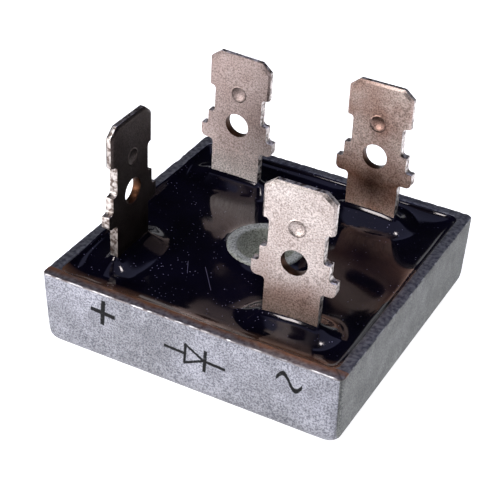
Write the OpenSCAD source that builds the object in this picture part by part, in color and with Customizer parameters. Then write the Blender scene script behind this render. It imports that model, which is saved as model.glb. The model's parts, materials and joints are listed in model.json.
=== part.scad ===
// Square metal-case bridge rectifier: an aluminium cup with a screw bore through its centre, four
// diode dice between copper plates and straps, and four push-on blades standing in the potting.
// Millimetres, +Z up. The origin is the centre of the flat cooling face, which the case rests on.

/* [Case] */
// Side of the square case
case_w = 28.6; // [28:0.1:34]
// Height of the case wall
case_h = 7.2; // [6.6:0.1:12]
// Thickness of the side walls
wall_t = 1.1; // [0.8:0.1:1.6]
// Thickness of the cooling floor
floor_t = 1.6; // [1:0.1:2]
// Radius of the four upright corners
corner_r = 0.9; // [0.4:0.1:1.5]
// Radius round the bottom edge
bottom_r = 1.0; // [0.3:0.1:1.4]
// Radius on the outer edge of the rim
rim_r = 0.25; // [0.1:0.05:0.35]
// Radius of the upright corners of the cavity
cavity_r = 1.0; // [0.4:0.1:1.6]

/* [Centre boss] */
// Diameter of the screw bore
bore_d = 5.3; // [4.3:0.1:5.5]
// Wall of the boss round the bore
boss_t = 0.9; // [0.6:0.1:1.1]
// How far the boss ends below the rim
boss_drop = 0.1; // [0:0.05:0.3]

/* [Potting] */
// How far the potting lies below the rim
fill_drop = 0.45; // [0.4:0.05:0.8]
// How high the potting creeps up the walls and the boss
wall_creep = 0.3; // [0.1:0.05:0.35]
// How high the potting creeps up a terminal
stem_creep = 0.5; // [0.2:0.05:0.8]
// How far each creeping edge reaches out
creep_reach = 1.1; // [0.6:0.1:1.2]

/* [Terminal blades] */
// Thickness of the terminal strip
blade_t = 0.8; // [0.6:0.05:0.9]
// Width of the push-on head
head_w = 6.25; // [5.8:0.05:6.6]
// Height of the push-on head
head_h = 3.65; // [3:0.05:5]
// Height of the blade over the rim
blade_rise = 13; // [12:0.1:16]
// Width of the slanted lead-in at each upper corner
lead_w = 0.98; // [0.6:0.02:1.4]
// Height of the slanted lead-in at each upper corner
lead_h = 0.8; // [0.5:0.05:1.2]
// Bevel round the edges of the head
head_bevel = 0.2; // [0.1:0.05:0.25]
// Width of the neck under the head
neck_w = 4.9; // [4.4:0.1:5.4]
// Length of the neck
neck_l = 2.85; // [2.4:0.05:3.4]
// Width of the upper step, where the wire hole is
upper_step_w = 6.2; // [5.8:0.1:6.6]
// Height of the upper step
upper_step_h = 1.55; // [1.2:0.05:1.8]
// Width of the lower step, which stops the receptacle
lower_step_w = 7.55; // [7:0.05:8]
// Height of the lower step
lower_step_h = 1.4; // [1.1:0.05:1.6]
// Radius of the lower step's bottom corners
lower_step_r = 0.5; // [0.3:0.05:0.6]
// Width of the stem that enters the potting
stem_w = 5; // [4.4:0.1:5.4]
// Radius in the inner corners of the outline
fillet_r = 0.35; // [0.2:0.05:0.5]
// Diameter of the wire hole
hole_d = 2.4; // [2:0.1:2.6]
// Depth of the wire hole's centre below the blade's end
hole_at = 7.2; // [7:0.05:7.6]
// Diameter of the detent dimple
dimple_d = 1.45; // [1:0.05:1.8]
// Depth of the detent dimple
dimple_h = 0.2; // [0.1:0.05:0.3]
// Depth of the dimple's centre below the blade's end
dimple_at = 3.85; // [3.4:0.05:4.2]
// Length of the solder foot, the strip's thickness included
foot_l = 1.9; // [1.6:0.1:2.1]
// Inner radius of the bend at the foot
bend_r = 0.3; // [0.2:0.05:0.4]

/* [Terminal places] */
// Middle of the positive stem from the left and the front side
positive_inset = [4.2, 7.5]; // [4:0.1:8]
// Middle of the front AC stem from the right and the front side
ac_front_inset = [7.3, 5.4]; // [5:0.1:8]
// Middle of the negative stem from the right and the rear side
negative_inset = [8.6, 4.2]; // [4:0.1:9]
// Middle of the rear AC stem from the left and the rear side
ac_rear_inset = [6.3, 5.4]; // [5:0.1:8]
// Hand-set lean, sway and twist of the front AC blade in degrees
ac_front_set = [-1, 1.2, 2.5]; // [-3:0.1:3]
// Hand-set lean, sway and twist of the negative blade in degrees
negative_set = [1, -0.4, -1.2]; // [-3:0.1:3]
// Hand-set lean, sway and twist of the rear AC blade in degrees
ac_rear_set = [-2.2, 2.1, -1]; // [-3:0.1:3]

/* [Diode stack] */
// Thickness of the insulating layer on the floor
insulator_t = 0.25; // [0.15:0.05:0.4]
// Thickness of the copper plates and straps
copper_t = 0.8; // [0.5:0.05:0.9]
// Side of each square die
die_w = 4.2; // [3.6:0.1:4.4]
// Thickness of each die
die_t = 0.3; // [0.2:0.05:0.4]
// Thickness of each solder layer
solder_t = 0.1; // [0.05:0.01:0.15]
// Middle of each die from the bore's centre planes
die_at = [5, 6]; // [4.8:0.1:6.2]
// Margin of copper round what is soldered to it
copper_margin = 0.1; // [0.05:0.05:0.2]
// Distance of the two plates from the YZ plane
plate_split = 1; // [0.5:0.1:1.5]
// Gap that keeps the plates and straps off the boss
boss_gap = 0.8; // [0.4:0.1:1]

/* [Hidden] */
$fn = 48;

// a cutter runs past the faces that it opens by this much
past = 1;
// shapes that join run into each other by this much
lap = 0.2;
// a diagonal sweep of the case stays this far off its upright corners
corner_gap = 0.02;
cavity_w = case_w - 2 * wall_t;
boss_r = bore_d / 2 + boss_t;
boss_h = case_h - boss_drop;
fill_z = case_h - fill_drop;

// levels of the stack, from the floor up
plate_z = floor_t + insulator_t;
plate_top = plate_z + copper_t;
die_z = plate_top + solder_t;
strap_z = die_z + die_t + solder_t;
strap_top = strap_z + copper_t;
stack_h = die_t + 2 * solder_t;

// heights on a blade, measured from the rim
shoulder_z = blade_rise - head_h;
upper_step_z = shoulder_z - neck_l;
lower_step_z = upper_step_z - upper_step_h;
stem_z = lower_step_z - lower_step_h;
hole_z = blade_rise - hole_at;
dimple_z = blade_rise - dimple_at;
// a sphere that cuts a dimple of this mouth and depth
dimple_r = (pow(dimple_d / 2, 2) + dimple_h * dimple_h) / (2 * dimple_h);
// the blade's lean starts this far below the rim, inside the potting
pivot_drop = 1;

// places in plan, each measured in from the sides that side.x and side.y point to
function from_sides(side, inset) =
    [side.x * (case_w / 2 - inset.x), side.y * (case_w / 2 - inset.y)];

positive_at = from_sides([-1, -1], positive_inset);
ac_front_at = from_sides([1, -1], ac_front_inset);
negative_at = from_sides([1, 1], negative_inset);
ac_rear_at = from_sides([-1, 1], ac_rear_inset);

// 1 and 2 sit on the positive plate, 3 and 4 on the negative, odd numbers at the front
function die_place(i) = [(i < 3 ? -1 : 1) * die_at.x, (i % 2 == 1 ? -1 : 1) * die_at.y];

// the creeping edge of the potting against a face: reach, then height
function creep(reach, height) =
    [[0, height], [0.2 * reach, 0.5 * height], [0.48 * reach, 0.18 * height], [reach, 0]];

module rounded_square(side, r) {
    inner = side / 2 - r;
    square([side, 2 * inner], center = true);
    square([2 * inner, side], center = true);
    for (x = [-inner, inner], y = [-inner, inner]) translate([x, y]) circle(r);
}

module box_2d(low, high) {
    translate(low) square(high - low);
}

// fills the inner corner at the origin, towards +X and +Y
module fillet_2d(r) {
    difference() {
        box_2d([-lap, -lap], [r, r]);
        translate([r, r]) circle(r);
    }
}

// ---- case ----

// upright section with this half width: round bottom edge, eased rim edge
module case_section(half) {
    box_2d([-half, bottom_r], [half, case_h - rim_r]);
    box_2d([-half + bottom_r, 0], [half - bottom_r, case_h - rim_r]);
    box_2d([-half + rim_r, bottom_r], [half - rim_r, case_h]);
    for (side = [-1, 1]) {
        translate([side * (half - bottom_r), bottom_r]) circle(bottom_r);
        translate([side * (half - rim_r), case_h - rim_r]) circle(rim_r);
    }
}

// the section swept level, far enough to cross the whole case
module case_sweep(turn, half) {
    rotate([90, 0, turn]) linear_extrude(2 * case_w, center = true) case_section(half);
}

module case_block() {
    // the diagonal sweeps round the four bottom corners and stay clear of the upright ones
    diagonal = (case_w / 2 - corner_r) * sqrt(2) + corner_r + corner_gap;
    intersection() {
        linear_extrude(case_h) rounded_square(case_w, corner_r);
        case_sweep(0, case_w / 2);
        case_sweep(90, case_w / 2);
        case_sweep(45, diagonal);
        case_sweep(-45, diagonal);
    }
}

// outline of the room between the walls and the boss
module cavity_2d() {
    difference() {
        rounded_square(cavity_w, cavity_r);
        circle(boss_r);
    }
}

module case() {
    color([0.74, 0.74, 0.75]) difference() {
        case_block();
        translate([0, 0, floor_t]) linear_extrude(case_h) cavity_2d();
        translate([0, 0, boss_h]) cylinder(r = boss_r, h = past);
        translate([0, 0, -past]) cylinder(d = bore_d, h = case_h + 2 * past);
    }
}

module insulating_layer() {
    color([0.82, 0.8, 0.72]) translate([0, 0, floor_t]) linear_extrude(insulator_t) cavity_2d();
}

// ---- plates, dice and straps ----

copper_color = [0.72, 0.45, 0.3];
die_reach = die_at + [1, 1] * (die_w / 2 + copper_margin);
stem_reach = stem_w / 2 + copper_margin;
heel_reach = blade_t / 2 + copper_margin;
toe_reach = foot_l - blade_t / 2 + copper_margin;

module plate(low, high) {
    color(copper_color) translate([0, 0, plate_z]) linear_extrude(copper_t) difference() {
        box_2d(low, high);
        circle(boss_r + boss_gap);
    }
}

module plate_positive() {
    plate([positive_at.x - toe_reach, positive_at.y - stem_reach], [-plate_split, die_reach.y]);
}

module plate_negative() {
    right = max(die_reach.x, negative_at.x + stem_reach);
    plate([plate_split, -die_reach.y], [right, negative_at.y + toe_reach]);
}

module on_die(i, z, t) {
    place = die_place(i);
    translate([place.x, place.y, z + t / 2]) cube([die_w, die_w, t], center = true);
}

module solder_lower(i) { color([0.6, 0.6, 0.62]) on_die(i, plate_top, solder_t); }

module die(i) { color([0.32, 0.33, 0.38]) on_die(i, die_z, die_t); }

module solder_upper(i) { color([0.6, 0.6, 0.62]) on_die(i, die_z + die_t, solder_t); }

// a bar over two dice, with a pad out to the heel of its terminal
module strap(from_x, to_x, terminal_at) {
    side = sign(terminal_at.y);
    inner = die_at.y - die_w / 2 - copper_margin;
    reach = abs(terminal_at.y) + heel_reach;
    color(copper_color) translate([0, 0, strap_z]) linear_extrude(copper_t) difference() {
        scale([1, side]) {
            box_2d([from_x, inner], [to_x, die_reach.y]);
            box_2d([terminal_at.x - stem_reach, inner], [terminal_at.x + stem_reach, reach]);
        }
        circle(boss_r + boss_gap);
    }
}

module strap_ac_front() { strap(-die_reach.x, max(die_reach.x, ac_front_at.x + stem_reach), ac_front_at); }

module strap_ac_rear() { strap(min(-die_reach.x, ac_rear_at.x - stem_reach), die_reach.x, ac_rear_at); }

// ---- terminals ----

module head_2d(inset) {
    half = head_w / 2 - inset;
    top = blade_rise - inset;
    polygon([
        [-half, shoulder_z], [half, shoulder_z], [half, top - lead_h],
        [half - lead_w, top], [lead_w - half, top], [-half, top - lead_h]
    ]);
}

// the neck and the two steps: each runs on into the wider one under or over it
module shank_2d() {
    round_x = lower_step_w / 2 - lower_step_r;
    box_2d([-neck_w / 2, lower_step_z], [neck_w / 2, shoulder_z + head_h / 2]);
    box_2d([-upper_step_w / 2, stem_z], [upper_step_w / 2, upper_step_z]);
    box_2d([-lower_step_w / 2, stem_z + lower_step_r], [lower_step_w / 2, lower_step_z]);
    box_2d([-round_x, stem_z], [round_x, lower_step_z]);
    for (side = [-1, 1]) scale([side, 1]) {
        translate([round_x, stem_z + lower_step_r]) circle(lower_step_r);
        translate([neck_w / 2, shoulder_z]) scale([1, -1]) fillet_2d(fillet_r);
        translate([neck_w / 2, upper_step_z]) fillet_2d(fillet_r);
        translate([upper_step_w / 2, lower_step_z]) fillet_2d(fillet_r);
        translate([stem_w / 2, stem_z]) scale([1, -1]) fillet_2d(fillet_r);
    }
}

module stem_2d() {
    box_2d([-stem_w / 2, -pivot_drop - lap], [stem_w / 2, stem_z + lap]);
}

// a flat outline in X and Z given the strip's thickness about the XZ plane
module strip(t) {
    rotate([90, 0, 0]) linear_extrude(t, center = true) children();
}

module blade() {
    difference() {
        union() {
            hull() {
                strip(blade_t - 2 * head_bevel) head_2d(0);
                strip(blade_t) head_2d(head_bevel);
            }
            strip(blade_t) shank_2d();
        }
        translate([0, 0, hole_z]) rotate([90, 0, 0])
            cylinder(d = hole_d, h = blade_t + 2 * past, center = true);
        translate([0, dimple_h - blade_t / 2 - dimple_r, dimple_z]) sphere(dimple_r);
    }
}

// a block from low to high with its lower left corner rounded
module rounded_corner_2d(low, r, high) {
    difference() {
        box_2d(low, high);
        difference() {
            box_2d(low - [past, past], low + [r, r]);
            translate(low + [r, r]) circle(r);
        }
    }
}

// side view of the riser and its bent foot, which points towards +Y
module riser_2d(seat_z) {
    heel = [-blade_t / 2, seat_z];
    toe_top = [heel.x + foot_l, case_h - pivot_drop];
    difference() {
        rounded_corner_2d(heel, bend_r + blade_t, toe_top);
        rounded_corner_2d(heel + [blade_t, blade_t], bend_r, toe_top + [past, past]);
    }
}

module riser(seat_z, foot_side) {
    scale([1, foot_side, 1]) rotate([90, 0, 90])
        linear_extrude(stem_w, center = true) riser_2d(seat_z);
}

// puts a blade on its riser with its lean, sway and twist
module set_blade(set) {
    translate([0, 0, case_h - pivot_drop]) rotate([0, 0, set.z]) rotate([-set.x, 0, 0])
        rotate([0, set.y, 0]) translate([0, 0, pivot_drop]) children();
}

// the part of a terminal that the potting meets
module terminal_base(seat_z, foot_side, set) {
    riser(seat_z, foot_side);
    set_blade(set) strip(blade_t) stem_2d();
}

module terminal(seat_z, foot_side, set) {
    color([0.72, 0.66, 0.64]) {
        terminal_base(seat_z, foot_side, set);
        set_blade(set) blade();
    }
}

upright = [0, 0, 0];

module at_positive() { translate(positive_at) rotate([0, 0, 90]) children(); }

module terminal_positive() { at_positive() terminal(plate_top, 1, upright); }

module terminal_ac_front() { translate(ac_front_at) terminal(strap_top, 1, ac_front_set); }

module terminal_negative() { translate(negative_at) terminal(plate_top, 1, negative_set); }

module terminal_ac_rear() { translate(ac_rear_at) terminal(strap_top, -1, ac_rear_set); }

// ---- potting ----

// section of the creeping edge against a face at X = 0, let into the potting under it
module creep_2d(height) {
    polygon(concat([[creep_reach, -lap], [0, -lap]], creep(creep_reach, height)));
}

// ridge of potting along the four walls
module wall_ridge() {
    side = cavity_w / 2;
    intersection() {
        linear_extrude(case_h) cavity_2d();
        for (turn = [0 : 90 : 270]) rotate([0, 0, turn]) translate([-side, 0, fill_z])
            rotate([90, 0, 0]) linear_extrude(cavity_w, center = true)
                creep_2d(wall_creep);
    }
}

module boss_ridge() {
    translate([0, 0, fill_z]) rotate_extrude() translate([boss_r, 0]) creep_2d(wall_creep);
}

// ridge round a stem: two crossed ridge lines, each running down from a face of the stem
module stem_ridge_2d(half) {
    slope = creep(creep_reach, stem_creep);
    right = [for (p = slope) [half + p.x, p.y]];
    left = [for (i = [len(slope) - 1 : -1 : 0]) [-half - slope[i].x, slope[i].y]];
    foot = [[half + creep_reach, -lap], [-half - creep_reach, -lap]];
    polygon(concat(left, right, foot));
}

module stem_ridge(twist) {
    length = stem_w + 2 * creep_reach + 2 * past;
    translate([0, 0, fill_z]) rotate([0, 0, twist]) intersection() {
        rotate([90, 0, 0]) linear_extrude(length, center = true) stem_ridge_2d(stem_w / 2);
        rotate([90, 0, 90]) linear_extrude(length, center = true) stem_ridge_2d(blade_t / 2);
    }
}

module potting_mass() {
    translate([0, 0, plate_z]) linear_extrude(fill_z - plate_z) cavity_2d();
    wall_ridge();
    boss_ridge();
    at_positive() stem_ridge(0);
    translate(ac_front_at) stem_ridge(ac_front_set.z);
    translate(negative_at) stem_ridge(negative_set.z);
    translate(ac_rear_at) stem_ridge(ac_rear_set.z);
}

module potting() {
    color([0.07, 0.07, 0.11]) difference() {
        potting_mass();
        plate_positive();
        plate_negative();
        strap_ac_front();
        strap_ac_rear();
        for (i = [1 : 4]) on_die(i, plate_top - lap, stack_h + 2 * lap);
        at_positive() terminal_base(plate_top, 1, upright);
        translate(ac_front_at) terminal_base(strap_top, 1, ac_front_set);
        translate(negative_at) terminal_base(plate_top, 1, negative_set);
        translate(ac_rear_at) terminal_base(strap_top, -1, ac_rear_set);
    }
}

case();
insulating_layer();
plate_positive();
plate_negative();
solder_lower(1);  // solder_lower_1
solder_lower(2);  // solder_lower_2
solder_lower(3);  // solder_lower_3
solder_lower(4);  // solder_lower_4
die(1);  // die_1
die(2);  // die_2
die(3);  // die_3
die(4);  // die_4
solder_upper(1);  // solder_upper_1
solder_upper(2);  // solder_upper_2
solder_upper(3);  // solder_upper_3
solder_upper(4);  // solder_upper_4
strap_ac_front();
strap_ac_rear();
terminal_positive();
terminal_ac_front();
terminal_negative();
terminal_ac_rear();
potting();
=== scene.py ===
# %% [markdown]
# # A bridge rectifier in a square cast-aluminium cup
#
# The real part is a small die-cast aluminium cup with a screw bore through its middle. Four diodes
# lie on its floor under black casting epoxy, and four tin-plated push-on blades stand out of it.
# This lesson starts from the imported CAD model, which gives every size and place, and adds what CAD
# leaves out: worn edges, the creeping edges of the epoxy, printed marks, metal grain and light.

import math

import bmesh
import bpy
import numpy as np
from mathutils import Matrix, Vector, noise
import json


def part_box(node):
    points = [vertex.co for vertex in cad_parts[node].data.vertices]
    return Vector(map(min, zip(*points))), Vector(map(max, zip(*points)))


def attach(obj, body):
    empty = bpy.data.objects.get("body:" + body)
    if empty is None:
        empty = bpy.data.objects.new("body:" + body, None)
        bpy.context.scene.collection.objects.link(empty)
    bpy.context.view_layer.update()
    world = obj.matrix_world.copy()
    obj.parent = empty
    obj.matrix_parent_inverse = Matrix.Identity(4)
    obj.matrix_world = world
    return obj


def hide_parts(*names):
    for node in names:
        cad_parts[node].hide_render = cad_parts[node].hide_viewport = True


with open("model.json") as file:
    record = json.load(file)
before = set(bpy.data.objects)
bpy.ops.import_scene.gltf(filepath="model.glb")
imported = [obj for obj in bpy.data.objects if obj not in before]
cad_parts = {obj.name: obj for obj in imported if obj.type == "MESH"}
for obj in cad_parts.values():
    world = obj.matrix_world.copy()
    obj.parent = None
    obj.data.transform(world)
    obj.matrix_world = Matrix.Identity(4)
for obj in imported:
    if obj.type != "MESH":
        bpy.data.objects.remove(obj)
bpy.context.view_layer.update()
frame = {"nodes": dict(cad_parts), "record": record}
MM = 0.001
mounts = {mount["name"]: mount for mount in frame["record"]["mounts"]}

# %% [markdown]
# ## Camera
#
# The part is looked at from its front right corner and from above, through a long lens, so that
# its sides stay nearly parallel. A camera can be aimed with a constraint, but plain angles keep
# every other view of the scene free: the yaw, pitch and roll below turn one rotation matrix.

# %% Camera from three angles, a distance and a lens
camera_yaw = math.radians(26.706)
camera_pitch = math.radians(33.588)
camera_roll = math.radians(2.85)
camera_distance = 130.477 * MM
camera_slide = Vector((-1.155, 5.333)) * MM
sensor_width = 36.0
lens = 101.91

turned = (
    Matrix.Rotation(camera_yaw, 3, "Z")
    @ Matrix.Rotation(math.pi / 2 - camera_pitch, 3, "X")
    @ Matrix.Rotation(camera_roll, 3, "Z")
)
camera_data = bpy.data.cameras.new("camera")
camera_data.sensor_width = sensor_width
camera_data.lens = lens
camera_data.clip_start = 10 * MM
camera_data.clip_end = 5.0
camera = bpy.data.objects.new("camera", camera_data)
bpy.context.scene.collection.objects.link(camera)
camera.matrix_world = Matrix.Translation(
    turned @ Vector((camera_slide.x, camera_slide.y, camera_distance))
) @ turned.to_4x4()
bpy.context.scene.camera = camera
print("camera at", [round(value / MM, 1) for value in camera.matrix_world.translation], "mm")

# %% [markdown]
# ## Helpers for meshes
#
# The cup and the epoxy are each one closed skin. The cup is laid out as rings of points and the
# epoxy as a grid, and each is turned into a mesh in one call. That gives full control of where the
# points are dense: at edges that catch the light.

# %% Make an object from points and faces, and ride it on the body
def make_piece(name, points, faces, stands_for=()):
    mesh = bpy.data.meshes.new(name)
    mesh.from_pydata([tuple(point) for point in points], [], [tuple(face) for face in faces])
    mesh.update()
    piece = bpy.data.objects.new(name, mesh)
    bpy.context.scene.collection.objects.link(piece)
    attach(piece, "root")
    if stands_for:
        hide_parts(*stands_for)
    return piece


def shade_by_angle(piece, degrees):
    piece.data.shade_smooth()
    piece.data.set_sharp_from_angle(angle=math.radians(degrees))


# %% [markdown]
# ## The cast cup
#
# The cup is die cast: its walls lean in slightly towards the bottom so that it leaves the mould,
# its edges are round, and its rim has small nicks from handling. A bevelled cube would give evenly
# sharp edges. Here one profile runs over the bottom, up the wall, over the rim, down the inside, up
# the boss and back down the bore, and each point of it becomes a ring: rounded squares for the
# walls that change into circles at the boss.

# %% Sizes of the cup, from the CAD model
case_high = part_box("case")[1]
fill_low, fill_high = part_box("potting")
case_half = case_high.x
case_height = case_high.z
cavity_half = fill_high.x
floor_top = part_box("insulating_layer")[0].z
boss_wall = 0.9 * MM
bore_radius = mounts["centre_bore"]["dims"]["r_mm"] * MM
boss_radius = bore_radius + boss_wall
boss_height = mounts["centre_bore"]["dims"]["length_mm"] * MM
print("cup", case_half * 2 / MM, "x", case_height / MM, "mm, wall", (case_half - cavity_half) / MM)

# %% Round edges and corners that the mould gives the cup
upright_radius = 0.55 * MM
lower_corner = 0.95 * MM
cavity_radius = 0.8 * MM
bottom_radius = 1.0 * MM
rim_radius = 0.14 * MM
inner_rim_radius = 0.2 * MM
boss_edge = 0.18 * MM
bore_chamfer = 0.15 * MM
draft = 0.14 * MM
print("upright edges of", upright_radius / MM, "mm, lean of the wall", draft / MM, "mm")

# %% Rings: a rounded square and a circle with matching points
side_steps = 96
corner_steps = 8


def square_ring(half, radius, height):
    points = []
    for quarter in range(4):
        turn = Matrix.Rotation(quarter * math.pi / 2, 3, "Z")
        for step in range(side_steps):
            along = -1 + 2 * (step + 0.5) / side_steps
            points.append(turn @ Vector((half, along * (half - radius), height)))
        for step in range(corner_steps):
            angle = math.pi / 2 * (step + 0.5) / corner_steps
            out = Vector((math.cos(angle), math.sin(angle), 0)) * radius
            points.append(turn @ (Vector((half - radius, half - radius, height)) + out))
    return points


def circle_ring(radius, height):
    guide = square_ring(case_half, upright_radius, 0)
    return [Vector((*(point.xy.normalized() * radius), height)) for point in guide]


def quarter_turn(count):
    return [math.pi / 2 * step / (count - 1) for step in range(count)]


print("points a ring:", len(square_ring(case_half, upright_radius, 0)))

# %% The profile outside: bottom, round bottom edge, leaning wall and rim
flat_bottom = 2 * MM
corner_growth = 0.4
corner_fade = 1.5
wall_steps = 16


def outside_rings():
    rings = [circle_ring(bore_radius + bore_chamfer, 0)]
    rings.append(circle_ring(bore_radius + flat_bottom, 0))
    for angle in quarter_turn(7):
        inset = bottom_radius * (1 - math.sin(angle))
        height = bottom_radius * (1 - math.cos(angle))
        lean = draft * (1 - height / case_height)
        corner = lower_corner + corner_growth * inset
        rings.append(square_ring(case_half - inset - lean, corner, height))
    wall_top = case_height - rim_radius
    for step in range(1, wall_steps + 1):
        height = bottom_radius + (wall_top - bottom_radius) * step / wall_steps
        share = height / case_height
        corner = upright_radius + (lower_corner - upright_radius) * (1 - share) ** corner_fade
        rings.append(square_ring(case_half - draft * (1 - share), corner, height))
    for angle in quarter_turn(5)[1:]:
        inset = rim_radius * (1 - math.cos(angle))
        height = wall_top + rim_radius * math.sin(angle)
        rings.append(square_ring(case_half - inset, upright_radius - inset, height))
    return rings


# %% The profile inside: the rim's flat, its inner edge and the wall of the cavity
flat_steps = 3
cavity_levels = (case_height - 0.5 * MM, case_height - 1 * MM, floor_top)


def inside_rings():
    rings = []
    flat_out = case_half - rim_radius
    flat_in = cavity_half + inner_rim_radius
    for step in range(1, flat_steps):
        half = flat_out + (flat_in - flat_out) * step / flat_steps
        rings.append(square_ring(half, cavity_radius, case_height))
    for angle in quarter_turn(4):
        half = flat_in - inner_rim_radius * math.sin(angle)
        height = case_height - inner_rim_radius * (1 - math.cos(angle))
        rings.append(square_ring(half, cavity_radius, height))
    for height in cavity_levels:
        rings.append(square_ring(cavity_half, cavity_radius, height))
    return rings


# %% The profile of the boss: up its outside, over its round edges and down the bore
boss_levels = (floor_top, case_height - 1.2 * MM, boss_height - 2 * boss_edge)
bore_steps = 14


def boss_rings():
    rings = [circle_ring(boss_radius, height) for height in boss_levels]
    for angle in quarter_turn(4):
        radius = boss_radius - boss_edge * (1 - math.cos(angle))
        rings.append(circle_ring(radius, boss_height - boss_edge * (1 - math.sin(angle))))
    for angle in quarter_turn(4):
        radius = bore_radius + boss_edge * (1 - math.sin(angle))
        rings.append(circle_ring(radius, boss_height - boss_edge * (1 - math.cos(angle))))
    for step in range(1, bore_steps):
        height = (boss_height - boss_edge) * (1 - step / bore_steps)
        rings.append(circle_ring(bore_radius, height))
    rings.append(circle_ring(bore_radius, bore_chamfer))
    return rings


# %% Join the rings with faces, the last ring to the first
rings = outside_rings() + inside_rings() + boss_rings()
ring_size = len(rings[0])
case_points = [point for ring in rings for point in ring]
case_faces = []
for row in range(len(rings)):
    near = row * ring_size
    far = (row + 1) % len(rings) * ring_size
    for step in range(ring_size):
        ahead = (step + 1) % ring_size
        case_faces.append((near + step, near + ahead, far + ahead, far + step))
print("cup skin:", len(rings), "rings of", ring_size, "points")

# %% Uneven casting, nicked rim and rough bore
# waves: (how wide, how deep), nicks: (how wide, where the pattern starts, how much is left out)
wall_waves = [(3.1 * MM, 0.02), (0.9 * MM, 0.008)]
boss_waves = [(0.7 * MM, 0.05), (0.3 * MM, 0.02)]
nicks = [(0.4 * MM, Vector((7, 3, 1)), 0.1), (1.7 * MM, Vector((0, 0, 0)), 0.3)]
nick_depth = 0.13
nick_drop = 8 * MM
outer_edge, rim_start = case_half - 1.2 * rim_radius, case_height - 1.5 * rim_radius
bore_zone, boss_zone = bore_radius * 1.05, boss_radius * 1.02
bore_mouth, boss_face = 0.3 * MM, boss_height - 0.05 * MM


def waves(point, sizes):
    return sum(noise.noise(point / width) * depth for width, depth in sizes)


def cast_offset(point):
    offset = Vector((0, 0, 0))
    radius = point.xy.length
    outward = Vector((point.x, point.y, 0)).normalized()
    if radius > cavity_half and point.z > bottom_radius:
        offset -= outward * (abs(waves(point, wall_waves)) * MM)
    if max(abs(point.x), abs(point.y)) > outer_edge and point.z > rim_start:
        knock = 0.0
        for width, start, less in nicks:
            knock += max(0.0, noise.noise(point / width + start) - less)
        inward = Vector((-point.x, -point.y, -nick_drop)).normalized()
        offset += inward * (nick_depth * knock * MM)
    if radius < boss_zone and point.z > bore_mouth:
        rough = abs(waves(point, boss_waves)) * MM
        into_metal = 1 if radius < bore_zone else -1
        offset += outward * (into_metal * rough)
        offset.z -= rough if point.z > boss_face else 0
    return offset


case_points = [point + cast_offset(point) for point in case_points]
cup = make_piece("cast_cup", case_points, case_faces, ["case"])
cup_mesh = bmesh.new()
cup_mesh.from_mesh(cup.data)
bmesh.ops.recalc_face_normals(cup_mesh, faces=cup_mesh.faces)
cup_mesh.to_mesh(cup.data)
cup_mesh.free()
shade_by_angle(cup, 42)
print("cast_cup faces:", len(cup.data.polygons))

# %% [markdown]
# ## The epoxy
#
# The cup is filled with black casting epoxy to about a millimetre under its rim. The liquid creeps
# up all that it wets and sets there. A real meniscus falls off exponentially, so the walls and the
# boss each add an edge of that form to a fine height field. Round each stem the epoxy is drawn up
# into a low mound with even slopes, and a small fillet ends it at the metal. One broad crown
# leaves the middle slightly domed. Bump could draw these edges, but a glossy surface mirrors the
# slope of each one, so they are modelled. The field is then closed downwards into a solid skin.

# %% Where the stems enter the epoxy
fill_level = case_height - 1.1 * MM
stem_width = 5.0 * MM
terminal_names = ["positive", "ac_front", "negative", "ac_rear"]


def stem_at(name):
    blade = mounts["blade_" + name]
    hole = mounts["wire_hole_" + name]
    end = Vector(blade["pos_m"])
    along = Vector(blade["axis"])
    face = Vector(hole["axis"])
    entry = end - along * ((end.z - fill_level) / along.z)
    flat = Vector((face.x, face.y)).normalized()
    return entry.xy, flat, hole["dims"]["length_mm"] * MM


stems = {name: stem_at(name) for name in terminal_names}
print({name: [round(value / MM, 2) for value in stems[name][0]] for name in stems})

# %% Menisci along the walls and round the boss
# each is (how high it climbs, how far it reaches): the broad part has the length that gravity
# gives a liquid's edge, and the steep part is the last bit at the wetted face
broad_wall, steep_wall = (0.84 * MM, 1.8 * MM), (0.2 * MM, 0.25 * MM)
broad_boss, steep_boss = (0.1 * MM, 1.2 * MM), (0.2 * MM, 0.3 * MM)
corner_blend = 0.4 * MM


def climb(gap, size):
    (height, reach) = size
    return height * np.exp(-np.maximum(gap, 0) / reach)


def wall_gap(x, y):
    near_x = np.exp((np.abs(x) - cavity_half) / corner_blend)
    near_y = np.exp((np.abs(y) - cavity_half) / corner_blend)
    return -corner_blend * np.log(near_x + near_y)


# %% Mounds round the stems
# each is (slope, how far it reaches, how softly it starts): the mound is bowed, as if its outline
# were part of a circle that far behind the stem, and the fillet follows the stem's own outline
mound = (0.5, 2.3 * MM, 0.35 * MM)
fillet = (0.4, 0.34 * MM, 0.05 * MM)
bow_back = 10 * MM


def ramp(gap, size):
    (slope, reach, softness) = size
    return slope * softness * np.logaddexp(0, (reach - gap) / softness)


def stem_gaps(x, y, stem):
    (centre, flat, thickness) = stem
    across = np.abs((x - centre.x) * flat.x + (y - centre.y) * flat.y)
    along = np.abs((y - centre.y) * flat.x - (x - centre.x) * flat.y)
    past_end = np.maximum(along - stem_width / 2, 0)
    straight = np.hypot(np.maximum(across - thickness / 2, 0), past_end)
    bowed = np.hypot(along, across + bow_back) - bow_back - thickness / 2
    return straight, np.hypot(np.maximum(bowed, 0), past_end)


# %% The height of the surface at a point
crown_x, crown_y = -1.5 * MM, -0.5 * MM
crown_radius, crown_rise = 7.0 * MM, 0.6 * MM
swell_width, ripple_width = 7 * MM, 2.5 * MM
swell_height, ripple_share = 0.1 * MM, 0.12
# no mound climbs its stem further than this
highest = case_height + 0.33 * MM


def swell(x, y):
    broad = noise.noise(Vector((x, y, 0)) / swell_width)
    return broad + ripple_share * noise.noise(Vector((x, y, 4)) / ripple_width)


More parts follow.
